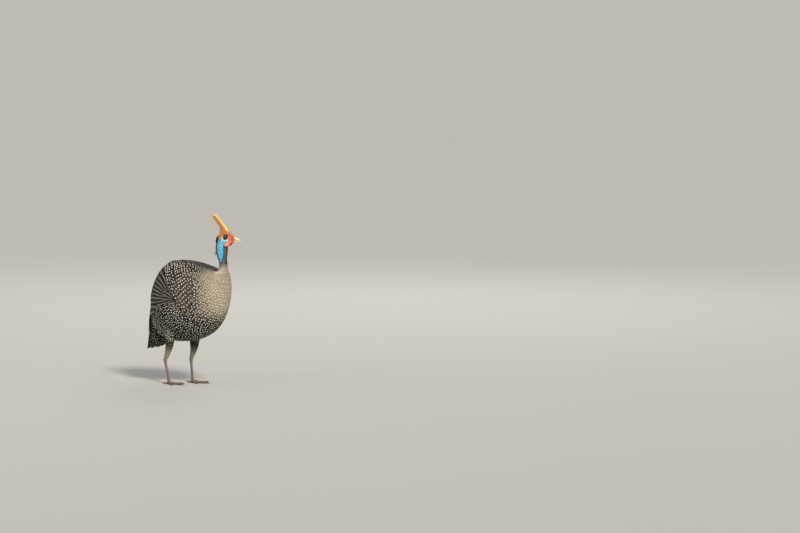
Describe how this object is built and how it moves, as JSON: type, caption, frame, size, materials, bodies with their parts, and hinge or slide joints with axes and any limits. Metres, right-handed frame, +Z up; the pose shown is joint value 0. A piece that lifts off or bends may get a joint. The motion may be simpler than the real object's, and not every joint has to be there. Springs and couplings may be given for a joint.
{
  "type": "guinea fowl",
  "caption": "Life-size still figure of a standing helmeted guinea fowl, head high, wings folded and tail drooping, with a horn casque on its crown.",
  "frame": {"origin": "on the floor, under the middle of the bird's box", "axes": "+X the way the body faces, +Y the bird's left side, +Z up"},
  "size_m": [0.3122, 0.1546, 0.4807],
  "materials": {
    "plumage": "matte feathers",
    "mantle": "matte feathers",
    "blue_skin": "bare skin, satin",
    "red_skin": "bare skin, satin",
    "horn": "dry horn",
    "bill": "smooth horn",
    "eye": "wet gloss",
    "scales": "scaled skin",
    "claw": "horn"
  },
  "bodies": {
    "root": {"torso": "plumage", "neck_feathered": "mantle", "neck_bare": "blue_skin", "head": "red_skin", "casque": "horn", "eye_left": "eye", "wattle_left": "red_skin", "eye_right": "eye", "wattle_right": "red_skin", "bill_upper": "bill", "bill_lower": "bill", "wing_left": "plumage", "wing_right": "plumage", "tail": "plumage", "thigh_left": "mantle", "shank_left": "scales", "foot_left": "scales", "claw_left_middle": "claw", "claw_left_inner": "claw", "claw_left_outer": "claw", "claw_left_hind": "claw", "thigh_right": "mantle", "shank_right": "scales", "foot_right": "scales", "claw_right_middle": "claw", "claw_right_inner": "claw", "claw_right_outer": "claw", "claw_right_hind": "claw"}
  },
  "joints": []
}
